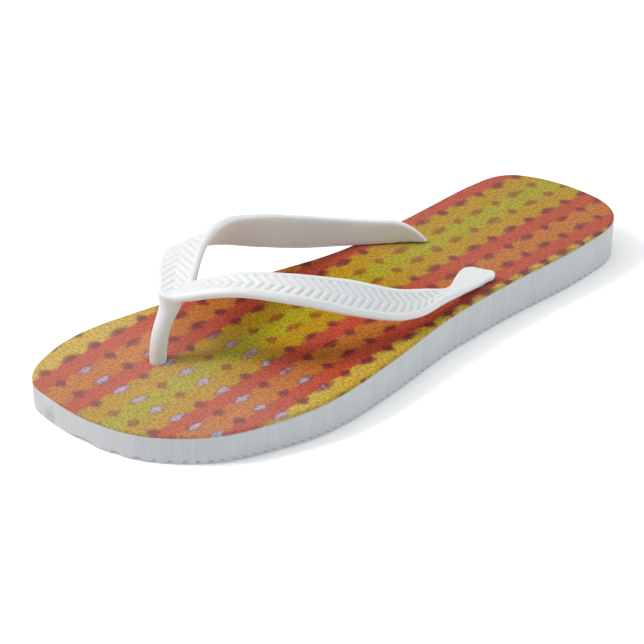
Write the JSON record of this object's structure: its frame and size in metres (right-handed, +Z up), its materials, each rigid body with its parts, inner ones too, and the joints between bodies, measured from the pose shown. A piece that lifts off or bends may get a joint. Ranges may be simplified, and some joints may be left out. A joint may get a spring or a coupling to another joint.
{
  "type": "flip flop sandal",
  "caption": "Left flip flop: ripple-tread foam rubber sole, printed fabric footbed cover and a moulded Y-shaped thong strap held by plugs under the sole.",
  "frame": {"origin": "on the ground, at the middle of the object's bounding box seen from above", "axes": "+Z up; toe towards -Y, heel towards +Y; outer (little toe) side of this left shoe towards +X, inner side towards -X"},
  "size_m": [0.1108, 0.2848, 0.0547],
  "materials": {
    "sole_foam": "matte die-cut foam rubber, near white",
    "footbed_fabric": "printed polyester knit, lengthwise stripes of red, ochre and lime",
    "strap_rubber": "smooth moulded white rubber, satin, with a raised chevron panel"
  },
  "bodies": {
    "rearfoot": {"sole_rearfoot": "sole_foam", "footbed_cover_rearfoot": "footbed_fabric", "thong_strap": "strap_rubber"},
    "forefoot": {"sole_forefoot": "sole_foam", "footbed_cover_forefoot": "footbed_fabric"}
  },
  "joints": [
    {"name": "ball_flex", "type": "hinge", "parent": "rearfoot", "child": "forefoot", "pos_m": [0, -0.057, 0.0158], "axis": [-1, 0, 0], "range_deg": [0, 35], "stiffness_Nm_per_rad": 0.9, "deforming": ["thong_strap"]}
  ]
}
